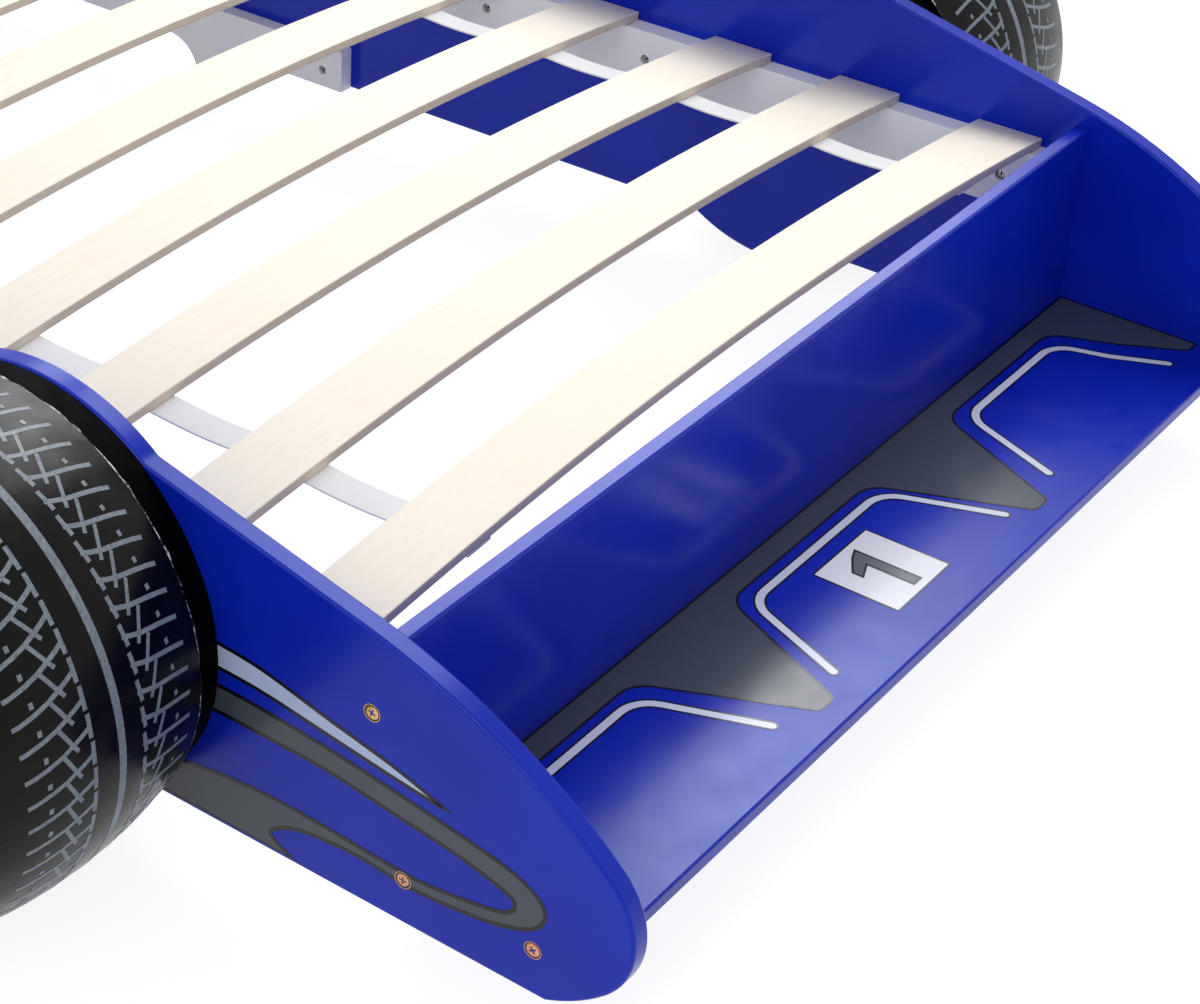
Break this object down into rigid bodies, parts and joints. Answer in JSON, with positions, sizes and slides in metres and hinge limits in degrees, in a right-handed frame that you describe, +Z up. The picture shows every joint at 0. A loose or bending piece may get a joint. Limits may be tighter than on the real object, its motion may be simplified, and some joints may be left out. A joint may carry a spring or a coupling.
{
  "type": "car bed for children",
  "caption": "Low child's bed shaped like a racing car: rounded nose boards, front wing shelf, bowed slats and tyre-shaped shells on the sides.",
  "frame": {"origin": "on the floor, in the middle of the bed's length and width", "axes": "+Z up, +Y from the nose to the tail, X across the bed"},
  "size_m": [1.375, 2.2901, 0.47],
  "materials": {
    "blue_lacquer": "deep blue gloss lacquer on fibreboard",
    "white_lacquer": "white satin lacquer on fibreboard",
    "tyre_shell": "black moulded shell with a printed grey tread",
    "rim_plastic": "grey moulded disc",
    "birch_plywood": "bare bowed plywood",
    "webbing": "white woven band",
    "yellow_screws": "yellow plated cross-head screws",
    "steel_screws": "dull plated screws"
  },
  "bodies": {
    "root": {"front_cross_board": "blue_lacquer", "front_wing_shelf": "blue_lacquer", "rear_cross_board": "blue_lacquer", "rear_wing_board": "blue_lacquer", "side_panel_left_front": "blue_lacquer", "slat_rail_left_front": "white_lacquer", "tyre_left_front": "tyre_shell", "rim_left_front": "rim_plastic", "side_panel_left_rear": "blue_lacquer", "slat_rail_left_rear": "white_lacquer", "tyre_left_rear": "tyre_shell", "rim_left_rear": "rim_plastic", "joining_plate_left": "white_lacquer", "slat_tape_left": "webbing", "side_panel_right_front": "blue_lacquer", "slat_rail_right_front": "white_lacquer", "tyre_right_front": "tyre_shell", "rim_right_front": "rim_plastic", "side_panel_right_rear": "blue_lacquer", "slat_rail_right_rear": "white_lacquer", "tyre_right_rear": "tyre_shell", "rim_right_rear": "rim_plastic", "joining_plate_right": "white_lacquer", "slat_tape_right": "webbing", "slat_01": "birch_plywood", "slat_02": "birch_plywood", "slat_03": "birch_plywood", "slat_04": "birch_plywood", "slat_05": "birch_plywood", "slat_06": "birch_plywood", "slat_07": "birch_plywood", "slat_08": "birch_plywood", "slat_09": "birch_plywood", "slat_10": "birch_plywood", "slat_11": "birch_plywood", "slat_12": "birch_plywood", "slat_13": "birch_plywood", "slat_14": "birch_plywood", "slat_15": "birch_plywood", "board_screws": "yellow_screws", "rail_screws": "steel_screws", "joining_plate_screws": "steel_screws", "wheel_screws": "steel_screws"}
  },
  "joints": []
}
